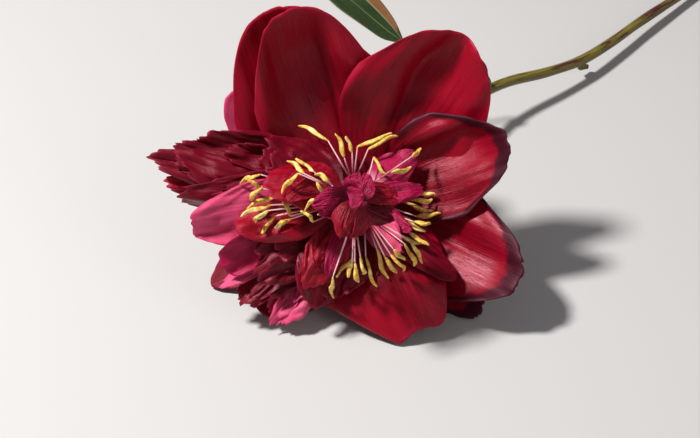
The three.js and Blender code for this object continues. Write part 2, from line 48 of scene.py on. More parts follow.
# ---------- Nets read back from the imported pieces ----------
WELD = 2e-6  # points closer than about this are one
STAMEN_TIP_SIDES = 4  # triangles that meet at either end of a packed stamen
LONGEST_STEP = 12 * MM  # rings of one stamen are never further apart


def welded(node):
    """A node's points, with those at one place joined, and its triangles."""
    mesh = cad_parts[node].data
    places = np.array([v.co for v in mesh.vertices], float)
    keys = np.round(places / WELD).astype(np.int64)
    _, first, where = np.unique(keys, axis=0, return_index=True, return_inverse=True)
    where = where.ravel()
    mesh.calc_loop_triangles()
    triangles = [tuple(int(where[i]) for i in t.vertices) for t in mesh.loop_triangles]
    return places[first], [t for t in triangles if len(set(t)) == 3]


def neighbours_of(triangles):
    """The points that each point shares a triangle with."""
    near = {}
    for t in triangles:
        for i in t:
            near.setdefault(i, set()).update(set(t) - {i})
    return near


def rings_from(pole, triangles):
    """The rings of points round a pole, one after the other, each in step with the last."""
    turn = {}
    for a, b, c in triangles:
        turn[a, b], turn[b, c], turn[c, a] = c, a, b
    sides = len({p for t in triangles if pole in t for p in t}) - 1
    ring = [min(p for t in triangles if pole in t for p in t if p != pole)]
    while len(ring) < sides:
        ring.append(turn.get((pole, ring[-1])))
    if None in ring or len(set(ring)) != sides:
        return []
    ring.reverse()
    rings, seen = [ring], {pole, *ring}
    while True:
        ring, count = rings[-1], len(rings[0])
        beyond = [turn.get((ring[j], ring[(j + 1) % count])) for j in range(count)]
        if any(point is None or point in seen for point in beyond):
            return rings
        fans = []
        for j in range(count):
            fan = [beyond[j]]
            while fan[-1] != beyond[j - 1] and len(fan) < 4:
                fan.append(turn.get((ring[j], fan[-1])))
            fans.append(fan)
        wide = [j for j, fan in enumerate(fans) if len(fan) == 3]
        start = wide[0] if wide else 0
        following = [fans[start][1]] if wide else [beyond[-1]]
        for i in range(count):
            point = beyond[(start + i) % count]
            if point != following[-1] and point != following[0]:
                following.append(point)
        if len(following) != count or len(set(following)) != count or seen & set(following):
            return rings
        following = following[count - start :] + following[: count - start]
        rings.append(following)
        seen.update(following)


def loops_of(points, rings):
    """The places of the points of each ring."""
    return np.array([[points[i] for i in ring] for ring in rings])


def most_joined(near):
    """The points with the most neighbours, which close the end of a sheet or a rod."""
    most = max(len(n) for n in near.values())
    return [i for i, n in near.items() if len(n) == most]


def sheet_net(node, towards):
    """The middle surface of a packed sheet: rows from its foot to its tip, each from side to side,
    turned so that its face looks towards the given way."""
    points, triangles = welded(node)
    near = neighbours_of(triangles)
    loops = loops_of(points, rings_from(most_joined(near)[0], triangles))
    sides = loops.shape[1]
    half = sides // 2

    def edge_gap(start):
        turned = np.roll(loops, -start, axis=1)
        side = np.linalg.norm(turned[:, half - 1] - turned[:, half], axis=1)
        other = np.linalg.norm(turned[:, -1] - turned[:, 0], axis=1)
        return (side + other).sum()

    start = min(range(sides), key=edge_gap)
    turned = np.roll(loops, -start, axis=1)
    net = (turned[:, :half] + turned[:, half:][:, ::-1]) / 2
    along = net[1:, :] - net[:-1, :]
    across = net[:, 1:] - net[:, :-1]
    faces = np.cross(along[:, :-1], across[:-1])
    if faces.sum((0, 1)) @ np.array(towards) < 0:
        net = net[:, ::-1]
    return net


def rod_line(node):
    """The centre line of a packed rod, and its radius at each point."""
    points, triangles = welded(node)
    near = neighbours_of(triangles)
    pole = most_joined(near)[0]
    loops = loops_of(points, rings_from(pole, triangles))
    line = loops.mean(1)
    radii = np.linalg.norm(loops - line[:, None], axis=2).mean(1)
    return line, radii


def stamen_lines(node):
    """The centre line of each stamen of a bundle, from its tip down as far as it stays apart."""
    points, triangles = welded(node)
    near = neighbours_of(triangles)
    lines = []
    for pole in sorted(i for i, n in near.items() if len(n) == STAMEN_TIP_SIDES):
        rings = rings_from(pole, triangles)
        if len(rings) < 3:
            continue
        line = loops_of(points, rings).mean(1)
        if max(np.linalg.norm(line[1:] - line[:-1], axis=1)) > LONGEST_STEP:
            continue
        lines.append(line)
    return lines


# ---------- The head's own directions ----------
FACE_ABOVE_RECEPTACLE = 19 * MM  # from the receptacle's tip to the middle of the flower's face

receptacle_points, receptacle_triangles = welded("receptacle")
receptacle_near = neighbours_of(receptacle_triangles)
ends = [receptacle_points[i] for i in most_joined(receptacle_near)]
ends.sort(key=lambda p: p[2])
AXIS = (ends[1] - ends[0]) / np.linalg.norm(ends[1] - ends[0])
RIGHT = np.array([1.0, 0.0, 0.0])
UP = np.cross(AXIS, RIGHT)
CENTRE = ends[1] + AXIS * FACE_ABOVE_RECEPTACLE


def in_head(points):
    """Points of the part's frame, seen from the head: x to the right, y up its face, z out of its face."""
    return (np.asarray(points) - CENTRE) @ np.array([RIGHT, UP, AXIS]).T


def from_head(points):
    """Points seen from the head, in the part's frame."""
    return np.asarray(points) @ np.array([RIGHT, UP, AXIS]) + CENTRE


# ---------- Smooth nets and noise ----------


def spline_weights(count, at):
    """Weights that read a smooth curve through count points at the places at, from 0 to count - 1."""
    at = np.clip(np.asarray(at, float), 0, count - 1)
    low = np.minimum(at.astype(int), count - 2)
    t = at - low
    basis = np.stack(
        [
            -0.5 * t + t**2 - 0.5 * t**3,
            1 - 2.5 * t**2 + 1.5 * t**3,
            0.5 * t + 2 * t**2 - 1.5 * t**3,
            -0.5 * t**2 + 0.5 * t**3,
        ],
        axis=1,
    )
    weights = np.zeros((len(at), count))
    rows = np.arange(len(at))
    for k in range(4):
        place = low + k - 1
        before, beyond = place < 0, place > count - 1
        inside = ~(before | beyond)
        np.add.at(weights, (rows[inside], place[inside]), basis[inside, k])
        # a point past either end is as far from the end point as its neighbour is
        np.add.at(weights, (rows[before], 0 * place[before]), 2 * basis[before, k])
        np.add.at(weights, (rows[before], 0 * place[before] + 1), -basis[before, k])
        last = np.full(beyond.sum(), count - 1)
        np.add.at(weights, (rows[beyond], last), 2 * basis[beyond, k])
        np.add.at(weights, (rows[beyond], last - 1), -basis[beyond, k])
    return weights


def hashed(ix, iy, seed):
    """A fixed number from 0 to 1 for each place of a grid."""
    value = np.sin(ix * 127.1 + iy * 311.7 + seed * 74.7) * 43758.5453
    return value - np.floor(value)


def noise(x, y, seed):
    """Smooth noise from -1 to 1."""
    ix, iy = np.floor(x), np.floor(y)
    fx, fy = x - ix, y - iy
    fx, fy = fx * fx * (3 - 2 * fx), fy * fy * (3 - 2 * fy)
    low = hashed(ix, iy, seed) * (1 - fx) + hashed(ix + 1, iy, seed) * fx
    high = hashed(ix, iy + 1, seed) * (1 - fx) + hashed(ix + 1, iy + 1, seed) * fx
    return 2 * (low * (1 - fy) + high * fy) - 1


def rough_noise(x, y, seed, octaves=3):
    """Noise with smaller noise added to it."""
    return sum(noise(x * 2**k, y * 2**k, seed + 17 * k) / 2**k for k in range(octaves)) / 1.75


def creased_noise(x, y, seed, octaves=3):
    """Noise with sharp ridges, as in crumpled paper, from 0 to 1."""
    return sum(
        (1 - np.abs(noise(x * 2**k, y * 2**k, seed + 31 * k))) / 2**k for k in range(octaves)
    ) / 1.75


def smooth_step(low, high, x):
    """0 up to low, 1 from high on, and a smooth rise between them."""
    t = np.clip((x - low) / (high - low), 0, 1)
    return t * t * (3 - 2 * t)


def net_normals(net):
    """The way that a net faces at each of its points."""
    along = np.gradient(net, axis=0)
    across = np.gradient(net, axis=1)
    normals = np.cross(along, across)
    return normals / np.maximum(np.linalg.norm(normals, axis=2, keepdims=True), 1e-12)


def relaxed(net, rounds):
    """A net with its bumps eased, its rim left in place."""
    net = net.copy()
    for _ in range(rounds):
        middle = (net[:-2, 1:-1] + net[2:, 1:-1] + net[1:-1, :-2] + net[1:-1, 2:]) / 4
        net[1:-1, 1:-1] = 0.5 * net[1:-1, 1:-1] + 0.5 * middle
    return net


# ---------- Meshes ----------
RIM_THINNING = 0.35  # a sheet's thickness at its rim, as a share of the rest


def new_object(name, points, faces, uvs, node_names, material):
    """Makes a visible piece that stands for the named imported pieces."""
    mesh = bpy.data.meshes.new(name)
    mesh.from_pydata([tuple(p) for p in points], [], faces)
    layer = mesh.uv_layers.new(name="petal_uv")
    corner = np.zeros(len(mesh.loops), np.int32)
    mesh.loops.foreach_get("vertex_index", corner)
    layer.data.foreach_set("uv", np.asarray(uvs, np.float32)[corner].ravel())
    mesh.polygons.foreach_set("use_smooth", np.ones(len(mesh.polygons), bool))
    mesh.materials.append(material)
    mesh.update()
    obj = bpy.data.objects.new(name, mesh)
    bpy.context.scene.collection.objects.link(obj)
    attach(obj, "root")
    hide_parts(*node_names)
    return obj


def sheet_mesh(net, thickness):
    """The points, faces and u, v of a thin closed sheet about a net."""
    rows, columns = net.shape[:2]
    normals = net_normals(net)
    thin = np.full((rows, columns, 1), thickness / 2)
    thin[-1, :] *= RIM_THINNING
    thin[:, 0] *= RIM_THINNING
    thin[:, -1] *= RIM_THINNING
    front, back = net + normals * thin, net - normals * thin
    points = np.vstack([front.reshape(-1, 3), back.reshape(-1, 3)])
    shift = rows * columns
    faces = []
    for i in range(rows - 1):
        for j in range(columns - 1):
            a = i * columns + j
            b, c, d = a + 1, a + columns + 1, a + columns
            faces.append((a, d, c, b))
            faces.append((shift + a, shift + b, shift + c, shift + d))
    rim = [i * columns for i in range(rows)]
    rim += [(rows - 1) * columns + j for j in range(1, columns)]
    rim += [i * columns + columns - 1 for i in range(rows - 2, -1, -1)]
    rim += [j for j in range(columns - 2, 0, -1)]
    for a, b in zip(rim, rim[1:] + rim[:1]):
        faces.append((a, a + shift, b + shift, b))
    u, v = np.meshgrid(np.linspace(0, 1, rows), np.linspace(0, 1, columns), indexing="ij")
    uvs = np.stack([u, v], axis=2).reshape(-1, 2)
    return points, [tuple(reversed(f)) for f in faces], np.vstack([uvs, uvs])


# ---------- Petals ----------
# What each petal does beyond its net. Lengths are in millimetres, and v runs from -1 on the side that
# is clockwise of the way the petal points to 1 on the other.
PLAIN = dict(
    fine=(56, 52),  # rows and columns of the fine net
    ease=6,  # rounds of easing out the net's bumps
    pleats=7,  # ridges from foot to rim
    pleat_depth=0.12,  # their height
    ruffle=0.9,  # how far the rim waves
    ruffle_count=3.0,  # waves along the rim
    crumple=0.0,  # the depth of its creases
    crumple_size=5.0,  # creases along the petal
    ragged=0.02,  # how deeply the rim is cut, as a share of the length
    blunt=0.0,  # how much of the tip is missing
    spread=(0.0, 0.0),  # how far each side is wider than its net
    curl=0.0,  # how far the rim curls towards the viewer
    fuller=0.0,  # how far the tip's shoulders stand out past their net
    folds=(),  # of each fold: v, its width, its height and the u where it starts
    lobes=((-1.0, 1.0, 1.0, 0.0),),  # of each lobe: v from and to, its reach, and its rise
    seed=1,  # which run of noise shapes it
)

# The three overlapping lobes of each petaloid in the middle of the face.
MIDDLE_LOBES = ((-1.0, 0.1, 1.0, 0.0), (-0.3, 0.5, 0.8, 0.8), (0.2, 1.0, 0.95, 0.4))

PETALS = {
    "guard_petal_top_left_rear": dict(look="crimson", seed=11, ruffle=1.2, folds=[(0.7, 0.3, 2, 0.3)]),
    "guard_petal_top_left_front": dict(
        look="crimson",
        seed=12,
        ruffle=1.3,
        fuller=2.0,
        folds=[
            (-0.62, 0.22, 3.5, 0.35),
            (0.0, 0.5, -4.5, 0.2),
            (0.75, 0.2, 2, 0.3),
            (-0.2, 0.07, -1.2, 0.05),
        ],
    ),
    "guard_petal_top": dict(
        look="crimson",
        seed=13,
        ruffle=1.5,
        fuller=2.0,
        folds=[(0.18, 0.14, -5, 0.25), (0.75, 0.25, 2.5, 0.3), (-0.55, 0.3, 1.5, 0.4)],
    ),
    "guard_petal_right_upper": dict(
        look="rimmed",
        seed=14,
        ruffle=1.5,
        ragged=0.05,
        curl=2.0,
        folds=[(0.72, 0.2, 2.5, 0.2), (0.25, 0.35, -3.5, 0.15), (-0.4, 0.3, 1.5, 0.4)],
    ),
    "guard_petal_right_lower": dict(
        look="rimmed",
        seed=15,
        ruffle=1.8,
        ragged=0.05,
        curl=2.5,
        folds=[(0.55, 0.2, 3, 0.2), (0.1, 0.25, -4, 0.15), (-0.6, 0.25, 2.5, 0.4)],
    ),
    "guard_petal_bottom": dict(
        look="crimson",
        seed=16,
        ruffle=0.4,
        ragged=0.01,
        blunt=0.09,
        spread=(10.0, 1.5),
        pleat_depth=0.07,
        fuller=2.0,
    ),
    "guard_petal_under_right": dict(look="rimmed", seed=17, ruffle=2.0, ragged=0.08, crumple=1.0),
    "guard_petal_under_left": dict(look="wine", seed=18, ruffle=1.5),
    "guard_petal_under_far_left": dict(look="wine", seed=19, ruffle=0.8),
    "guard_petal_behind": dict(look="wine", seed=20),
    "guard_petal_back_left": dict(look="pink", seed=21),
    "petal_left_tip": dict(
        look="crimson", seed=22, ruffle=2.0, ragged=0.12, crumple=1.2,
        lobes=((-1.0, 1.0, 1.0, 0.0), (-1.0, 0.3, 0.88, 1.2)),
    ),
    "petal_left_long": dict(
        look="wine", seed=23, ruffle=2.2, ragged=0.12, crumple=1.4,
        lobes=((-1.0, 1.0, 1.0, 0.0), (-0.4, 1.0, 0.85, 1.2)),
    ),
    "petal_left_upper": dict(
        look="wine", seed=24, ruffle=2.2, ragged=0.1, crumple=2.4,
        lobes=((-1.0, 0.25, 0.92, 0.0), (-0.2, 1.0, 1.0, 1.4), (-0.75, 0.2, 0.7, 2.2)),
    ),
    "petal_left_dark": dict(
        look="wine", seed=25, ruffle=2.0, ragged=0.15, crumple=1.6,
        lobes=((-1.0, 1.0, 1.0, 0.0), (-0.6, 0.6, 0.75, 1.4)),
    ),
    "petal_left_pink": dict(look="pink", seed=26, ruffle=1.6, ragged=0.06, crumple=2.2),
    "petal_left_smooth": dict(look="crimson", seed=27, ruffle=1.4, ragged=0.06, crumple=1.0),
    "petal_left_spoon": dict(look="magenta", seed=28, ruffle=1.6, ragged=0.04, crumple=1.8),
    "petal_pink_point": dict(look="pink", seed=29, ruffle=0.8, ragged=0.1),
    "petal_low_left_dark": dict(
        look="wine", seed=30, ruffle=2.5, ragged=0.12, crumple=2.6,
        lobes=((-1.0, 0.5, 1.0, 0.0), (-0.2, 1.0, 0.9, 1.2), (-0.7, 0.5, 0.72, 2.2)),
    ),
    "petal_low_crumpled": dict(
        look="pink", seed=31, ruffle=2.5, ragged=0.12, crumple=3.4,
        lobes=((-1.0, 0.4, 0.95, 0.0), (-0.3, 1.0, 1.0, 1.2), (-0.8, 0.5, 0.82, 2.2)),
    ),
    "petal_low_broad": dict(
        look="wine", seed=32, ruffle=2.4, ragged=0.1, crumple=2.6,
        lobes=((-1.0, 0.4, 0.9, 0.0), (-0.2, 1.0, 1.0, 1.2), (-0.6, 0.5, 0.7, 2.4)),
    ),
    "petal_low_middle": dict(
        look="wine", seed=33, ruffle=2.0, ragged=0.1, crumple=2.6,
        lobes=((-1.0, 0.4, 1.0, 0.0), (-0.1, 1.0, 0.9, 1.2), (-0.6, 0.5, 0.7, 2.2)),
    ),
    "petal_low_red": dict(
        look="crimson", seed=34, ruffle=1.5, ragged=0.12, crumple=2.2,
        lobes=((-1.0, 1.0, 1.0, 0.0), (-0.5, 0.8, 0.7, 1.4)),
    ),
    "petal_right_small": dict(look="wine", seed=35, ruffle=0.8),
    "petaloid_dark": dict(
        look="wine", seed=36, ruffle=2.0, ragged=0.14, crumple=2.4,
        lobes=((-1.0, 0.5, 1.0, 0.0), (-0.1, 1.0, 0.9, 1.0)),
    ),
    "petaloid_left_point": dict(
        look="crimson", seed=37, ruffle=1.4, ragged=0.12, crumple=1.4,
        lobes=((-1.0, 1.0, 1.0, 0.0), (-0.9, 0.2, 0.7, 1.0)),
    ),
    "petaloid_magenta": dict(look="spoon", seed=38, ruffle=0.8, crumple=0.4),
    "petaloid_pink": dict(
        look="pink", seed=39, ruffle=1.6, ragged=0.14, crumple=1.2,
        lobes=((-1.0, 0.3, 1.0, 0.0), (-0.1, 1.0, 0.9, 0.8)),
    ),
    "petaloid_strip_right": dict(look="magenta", seed=40, ruffle=1.0, ragged=0.12, crumple=1.0),
    "petaloid_strip_low": dict(look="magenta", seed=41, ruffle=1.0, ragged=0.12, crumple=1.0),
    "petaloid_strap_left": dict(look="crimson", seed=42, ruffle=0.8, crumple=0.8),
    "petaloid_strap_down": dict(look="magenta", seed=43, ruffle=0.9, crumple=0.8),
    "petaloid_middle_low": dict(
        look="crimson", seed=44, ruffle=1.4, ragged=0.1, crumple=0.8,
        lobes=MIDDLE_LOBES,
    ),
    "petaloid_middle_left": dict(
        look="magenta", seed=45, ruffle=1.2, ragged=0.1, crumple=0.8,
        lobes=MIDDLE_LOBES,
    ),
    "petaloid_middle_top": dict(
        look="magenta", seed=46, ruffle=1.2, ragged=0.1, crumple=0.8,
        lobes=MIDDLE_LOBES,
    ),
    "petaloid_middle_right": dict(
        look="crimson", seed=47, ruffle=1.2, ragged=0.1, crumple=0.8,
        lobes=MIDDLE_LOBES,
    ),
    "petaloid_right_fold": dict(
        look="wine", seed=49, ruffle=1.4, ragged=0.1, crumple=0.8,
        lobes=MIDDLE_LOBES,
    ),
    "petaloid_knot": dict(look="magenta", seed=50, ruffle=1.4, ragged=0.14, crumple=1.0),
}


FULL_LIFT_LENGTH = 60 * MM  # shorter petals have shallower waves and creases


def fine_petal(node, plan, lobe=(-1.0, 1.0, 1.0, 0.0)):
    """The fine net of a petal, with its veins, waves, creases and torn rim."""
    net = sheet_net(node, AXIS)
    rows, columns = plan["fine"]
    length = np.linalg.norm(np.diff(net[:, net.shape[1] // 2], axis=0), axis=1).sum()
    # How far each column reaches: the rim is cut and slit, and the corners are rounded.
    v_low, v_high, lobe_reach, rise = lobe
    seed = plan["seed"] + 7 * plan["lobes"].index(lobe)
    v = np.linspace(-1, 1, columns)
    cut = rough_noise(v * 5 + seed, v * 0 + 0.5, seed)
    cut = (cut - cut.min()) * 0.7
    slits = np.clip(creased_noise(v * 3.1 + seed, v * 0 + 2.2, seed + 3) - 0.86, 0, 1) * 5
    reach = 1 - plan["ragged"] * (cut + slits)
    reach -= 0.10 * np.abs(v) ** 6 + plan["blunt"] * np.exp(-((v / 0.35) ** 2))
    reach = np.clip(reach * lobe_reach, 0.3, 1)
    # The smooth sheet through the net, as far as each column reaches.
    u = np.linspace(0, 1, rows)
    columns_at = (v_low + (v + 1) / 2 * (v_high - v_low) + 1) / 2 * (net.shape[1] - 1)
    across = np.einsum("jc,rcd->rjd", spline_weights(net.shape[1], columns_at), net)
    fine = np.zeros((rows, columns, 3))
    for j in range(columns):
        weights = spline_weights(net.shape[0], u * reach[j] * (net.shape[0] - 1))
        fine[:, j] = weights @ across[:, j]
    fine = relaxed(fine, plan["ease"])
    # The sides are widened and the tip's shoulders are filled out.
    sideways = fine[:, -1] - fine[:, 0]
    sideways = sideways / np.maximum(np.linalg.norm(sideways, axis=1, keepdims=True), 1e-9)
    widening = np.where(v < 0, -plan["spread"][0], plan["spread"][1]) * np.abs(v) * MM
    fine += (np.sin(math.pi * u**1.4) ** 0.8)[:, None, None] * widening[None, :, None] * sideways[:, None]
    onward = fine[-1] - fine[-3]
    onward = onward / np.maximum(np.linalg.norm(onward, axis=1, keepdims=True), 1e-9)
    shoulders = np.exp(-(((np.abs(v) - 0.62) / 0.3) ** 2)) * plan["fuller"] * MM
    fine += smooth_step(0.55, 1, u)[:, None, None] * (shoulders[:, None] * onward)[None]
    # How far each point is lifted off the sheet: pleats, waves at the rim, creases, curl and folds.
    normals = net_normals(fine)
    uu, vv = np.meshgrid(u, v, indexing="ij")
    end = smooth_step(0.72, 1, uu)
    side = smooth_step(0.74, 1, np.abs(vv)) * smooth_step(0.2, 0.6, uu)
    rim = np.maximum(end, side)
    grown = smooth_step(0.02, 0.4, uu)
    pleat = np.sin(plan["pleats"] * math.pi * vv + noise(uu * 2, vv * 3, seed) * 2)
    lift = plan["pleat_depth"] * grown * pleat
    lift += 0.25 * plan["pleat_depth"] * grown * rough_noise(uu * 2, vv * 26, seed + 5)
    wave = noise(vv * plan["ruffle_count"] + seed, uu * 1.5 + seed, seed + 7)
    wave += 0.45 * noise(vv * plan["ruffle_count"] * 2.3, uu * 2.5, seed + 8)
    lift += plan["ruffle"] * rim * wave
    if plan["crumple"]:
        size = plan["crumple_size"]
        crease = creased_noise(uu * size, vv * size * 0.3 + seed, seed + 9, 2) - 0.6
        lift += plan["crumple"] * crease * smooth_step(0.1, 0.5, uu)
    lift += plan["curl"] * rim**2
    for middle, width, height, start in plan["folds"]:
        wander = middle + 0.06 * noise(uu * 3, uu * 0 + seed, seed + 21)
        deepest = smooth_step(start, start + 0.4, uu) * (1 - 0.75 * smooth_step(0.7, 1, uu))
        lift += height * np.exp(-(((vv - wander) / width) ** 2)) * deepest
    lift += rise * smooth_step(0.1, 0.5, uu)
    scale = min(1.0, length / FULL_LIFT_LENGTH)
    return fine + normals * (lift * MM * (0.5 + 0.5 * scale))[:, :, None]


# ---------- Materials ----------


class Nodes:
    """A small helper for making shader nodes."""

    def __init__(self, name):
        self.material = bpy.data.materials.new(name)
        self.material.use_nodes = True
        self.tree = self.material.node_tree
        self.tree.nodes.clear()
        self.output = self.add("ShaderNodeOutputMaterial")
        self.shader = self.add("ShaderNodeBsdfPrincipled")
        self.tree.links.new(self.shader.outputs[0], self.output.inputs[0])

    def add(self, kind, **values):
        node = self.tree.nodes.new(kind)
        for key, value in values.items():
            setattr(node, key, value)
        return node

    def put(self, socket, value):
        """Sets a socket from a number, a colour or another socket."""
        if isinstance(value, bpy.types.NodeSocket):
            self.tree.links.new(value, socket)
        elif isinstance(value, tuple) and len(value) == 3 and socket.type == "RGBA":
            socket.default_value = (*value, 1)
        else:
            socket.default_value = value

    def math(self, operation, a, b=0.0, c=0.0, clamp=False):
        node = self.add("ShaderNodeMath", operation=operation, use_clamp=clamp)
        for socket, value in zip(node.inputs, (a, b, c)):
            self.put(socket, value)
        return node.outputs[0]

    def mix(self, share, a, b):
        node = self.add("ShaderNodeMix", data_type="RGBA")
        self.put(node.inputs[0], share)
        self.put(node.inputs[6], a)
        self.put(node.inputs[7], b)
        return node.outputs[2]

    def span(self, value, low, high, to_low=0.0, to_high=1.0):
        node = self.add("ShaderNodeMapRange", interpolation_type="SMOOTHSTEP")
        for socket, given in zip(node.inputs, (value, low, high, to_low, to_high)):
            self.put(socket, given)
        return node.outputs[0]

    def vector(self, x, y, z=0.0):
        node = self.add("ShaderNodeCombineXYZ")
        for socket, value in zip(node.inputs, (x, y, z)):
            self.put(socket, value)
        return node.outputs[0]

    def noise(self, vector, scale, detail=3.0, roughness=0.55):
        node = self.add("ShaderNodeTexNoise")
        self.put(node.inputs["Vector"], vector)
        node.inputs["Scale"].default_value = scale
        node.inputs["Detail"].default_value = detail
        node.inputs["Roughness"].default_value = roughness
        return node.outputs[0]

    def bump(self, height, strength, distance):
        node = self.add("ShaderNodeBump")
        node.inputs["Strength"].default_value = strength
        node.inputs["Distance"].default_value = distance
        self.put(node.inputs["Height"], height)
        self.tree.links.new(node.outputs[0], self.shader.inputs["Normal"])

    def uv(self):
        node = self.add("ShaderNodeUVMap", uv_map="petal_uv")
        parts = self.add("ShaderNodeSeparateXYZ")
        self.put(parts.inputs[0], node.outputs[0])
        return parts.outputs[0], parts.outputs[1]

    def place(self):
        return self.add("ShaderNodeTexCoord").outputs["Object"]

    def set(self, **values):
        for key, value in values.items():
            self.put(self.shader.inputs[key.replace("_", " ")], value)


# Colours of each petal look: its deep, middle and pale tones, and its rim. The deep tone also serves as
# painted shade towards each petal's foot. The rim is a dried dark purple edge for the rimmed look and a
# deeper tone of their own for the spoon and pink looks; for the crimson, wine and magenta looks it is a
# lighter magenta, painted glow of light through the thin edges.
LOOKS = {
    "crimson": (
        (0.085, 0.0002, 0.003),
        (0.290, 0.0006, 0.012),
        (0.56, 0.018, 0.060),
        (0.42, 0.003, 0.035),
    ),
    "rimmed": (
        (0.075, 0.0002, 0.003),
        (0.260, 0.0006, 0.012),
        (0.52, 0.020, 0.055),
        (0.014, 0.002, 0.008),
    ),
    "wine": (
        (0.036, 0.0002, 0.0018),
        (0.150, 0.0004, 0.009),
        (0.36, 0.006, 0.038),
        (0.22, 0.001, 0.022),
    ),
    "magenta": (
        (0.110, 0.0004, 0.012),
        (0.340, 0.0010, 0.045),
        (0.66, 0.030, 0.17),
        (0.50, 0.004, 0.10),
    ),
    "spoon": (
        (0.160, 0.001, 0.020),
        (0.360, 0.003, 0.055),
        (0.80, 0.35, 0.46),
        (0.30, 0.002, 0.05),
    ),
    "pink": (
        (0.360, 0.006, 0.050),
        (0.700, 0.075, 0.180),
        (0.84, 0.28, 0.38),
        (0.55, 0.010, 0.09),
    ),
}
# How far the pale tone shows at each look's foot.
PALE_FOOT = {"crimson": 0.1, "rimmed": 0.1, "wine": 0.1, "magenta": 0.5, "spoon": 1.0, "pink": 0.9}


def petal_material(look):
    deep, middle, pale, dried_rim_and_rim_glow_colour = LOOKS[look]
    n = Nodes("petal_" + look)
    u, v = n.uv()
    away = n.math("ABSOLUTE", n.math("MULTIPLY_ADD", v, 2.0, -1.0))
    place = n.place()
    fan = n.vector(n.math("MULTIPLY", v, 34.0), n.math("MULTIPLY", u, 1.6))
    streak = n.noise(fan, 1.0, 5.0, 0.6)
    fine = n.noise(n.vector(n.math("MULTIPLY", v, 120.0), n.math("MULTIPLY", u, 5.0)), 1.0, 3.0)
    patch = n.noise(place, 55.0, 3.0)
    tone = n.math("ADD", n.math("MULTIPLY", streak, 0.6), n.math("MULTIPLY", patch, 0.5))
    # Painted shade: adding u darkens each petal towards its foot, standing for the shade deep in the
    # flower's middle; the streak and patch noise is the petal's own uneven tone.
    tone = n.math("ADD", tone, n.math("MULTIPLY", u, 0.28))
    base = n.mix(n.span(tone, 0.38, 0.82), deep, middle)
    lines = n.math("MULTIPLY", n.span(fine, 0.52, 0.75), n.span(u, 0.15, 0.7))
    base = n.mix(n.math("MULTIPLY", lines, 0.16), base, pale)
    foot = n.span(u, 0.42 if look == "spoon" else 0.26, 0.05)
    base = n.mix(n.math("MULTIPLY", foot, PALE_FOOT[look]), base, pale)
    # The rim: for the crimson, wine and magenta looks a lighter magenta, painted glow of light through the
    # thin edges; for the rimmed look the dark purple of a dried edge; for the spoon and pink looks a
    # deeper tone of their own.
    torn = n.math("MULTIPLY", n.math("SUBTRACT", n.noise(place, 160.0, 4.0), 0.5), 0.16)
    side = n.math("MULTIPLY", n.span(away, 0.86, 1.0), n.span(u, 0.35, 0.6))
    rim_width = 0.86 if look == "rimmed" else 0.955
    end = n.span(n.math("ADD", u, torn), rim_width, rim_width + 0.05)
    rim = n.math("MAXIMUM", side, end, clamp=True)
    base = n.mix(n.math("MULTIPLY", rim, 0.9 if look == "rimmed" else 0.5), base, dried_rim_and_rim_glow_colour)
    n.set(Base_Color=base)
    rough = n.math("ADD", n.span(streak, 0.3, 0.7, 0.30, 0.44), n.math("MULTIPLY", rim, 0.15))
    n.set(Roughness=rough)
    n.shader.inputs["Specular IOR Level"].default_value = 0.42
    n.shader.inputs["Specular Tint"].default_value = (1.0, 0.50, 0.58, 1)
    n.shader.inputs["Sheen Weight"].default_value = 0.05
    n.shader.inputs["Sheen Roughness"].default_value = 0.3
    n.shader.inputs["Sheen Tint"].default_value = (*pale, 1)
    n.shader.inputs["Subsurface Weight"].default_value = 0.08
    n.shader.inputs["Subsurface Radius"].default_value = (0.004, 0.0006, 0.0008)
    n.shader.inputs["Subsurface Scale"].default_value = 0.5
    height = n.math("ADD", n.math("MULTIPLY", streak, 0.6), n.math("MULTIPLY", fine, 0.5))
    n.bump(height, 0.7, 0.0005)
    return n.material


def leaf_material():
    n = Nodes("leaf")
    u, v = n.uv()
    off = n.math("MULTIPLY_ADD", v, 2.0, -1.0)
    away = n.math("ABSOLUTE", off)
    veins = n.math("MULTIPLY_ADD", away, -0.9, n.math("MULTIPLY", u, 1.0))
    rib = n.math("ABSOLUTE", n.math("SINE", n.math("MULTIPLY", veins, 26.0)))
    side_vein = n.math("MULTIPLY", n.span(rib, 0.16, 0.0), n.span(away, 1.0, 0.5))
    middle = n.span(away, 0.06, 0.015)
    edge = n.span(away, 0.93, 1.0)
    patch = n.noise(n.place(), 90.0, 4.0)
    green = n.mix(patch, (0.008, 0.022, 0.007), (0.022, 0.055, 0.014))
    green = n.mix(n.math("MULTIPLY", side_vein, 0.5), green, (0.05, 0.10, 0.03))
    green = n.mix(n.math("MAXIMUM", middle, edge), green, (0.16, 0.17, 0.06))
    tan = n.mix(patch, (0.16, 0.055, 0.016), (0.30, 0.13, 0.05))
    tan = n.mix(n.math("MULTIPLY", side_vein, 0.7), tan, (0.12, 0.10, 0.03))
    rolled = n.span(v, 0.235, 0.215)  # the margin that is rolled over and shows its underside
    crease = n.math("MULTIPLY", n.span(v, 0.20, 0.225), n.span(v, 0.26, 0.235))
    green = n.mix(n.math("MULTIPLY", rolled, n.span(u, 0.06, 0.12)), green, tan)
    green = n.mix(crease, green, (0.30, 0.22, 0.10))
    n.set(Base_Color=green)
    n.set(Roughness=n.span(patch, 0.3, 0.7, 0.32, 0.45))
    n.shader.inputs["Subsurface Weight"].default_value = 0.05
    n.bump(n.math("ADD", side_vein, n.math("MULTIPLY", patch, 0.4)), 0.5, 0.0005)
    return n.material


